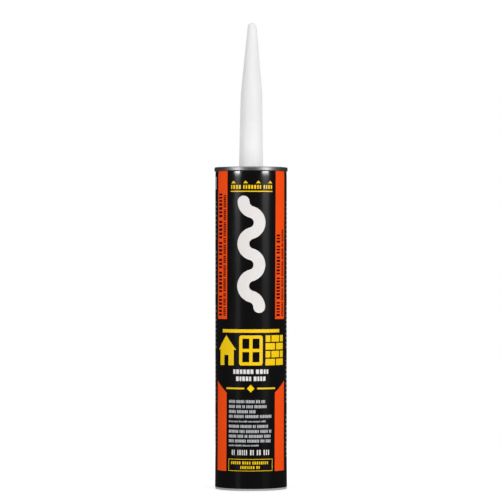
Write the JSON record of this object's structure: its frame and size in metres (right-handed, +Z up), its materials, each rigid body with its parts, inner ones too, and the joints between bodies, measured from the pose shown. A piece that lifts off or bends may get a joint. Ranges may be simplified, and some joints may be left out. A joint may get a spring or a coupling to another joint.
{
  "type": "caulk tube",
  "caption": "Full sealant cartridge for a hand gun: printed board tube, crimped metal end, long tapered plastic nozzle and a sliding plunger in the open rear.",
  "frame": {"origin": "middle of the circle on which the tube's open rear end stands", "axes": "+Z up the tube and out of the nozzle, -Y out of the front of the label"},
  "size_m": [0.0502, 0.0502, 0.319],
  "materials": {
    "board": "grey wound board, bare at the cut ends",
    "ink_black": "gloss varnished black print",
    "ink_orange": "gloss varnished orange print",
    "ink_yellow": "gloss varnished yellow print",
    "ink_white": "gloss varnished white print",
    "tinplate": "bright rolled tinplate",
    "nozzle_plastic": "smooth satin white polyethylene",
    "foil": "thin bright foil",
    "sealant_paste": "wet smooth paste",
    "plunger_plastic": "satin natural white polyethylene"
  },
  "bodies": {
    "barrel": {"board_tube": "board", "label_ground": "ink_black", "label_orange": "ink_orange", "label_yellow": "ink_yellow", "label_white": "ink_white", "tin_end": "tinplate", "nozzle": "nozzle_plastic", "foil_seal": "foil", "sealant": "sealant_paste"},
    "plunger": {"plunger": "plunger_plastic"}
  },
  "joints": [
    {"name": "plunger_slide", "type": "slide", "parent": "barrel", "child": "plunger", "axis": [0, 0, 1], "range_m": [0, 0.173], "deforming": ["sealant"]}
  ]
}
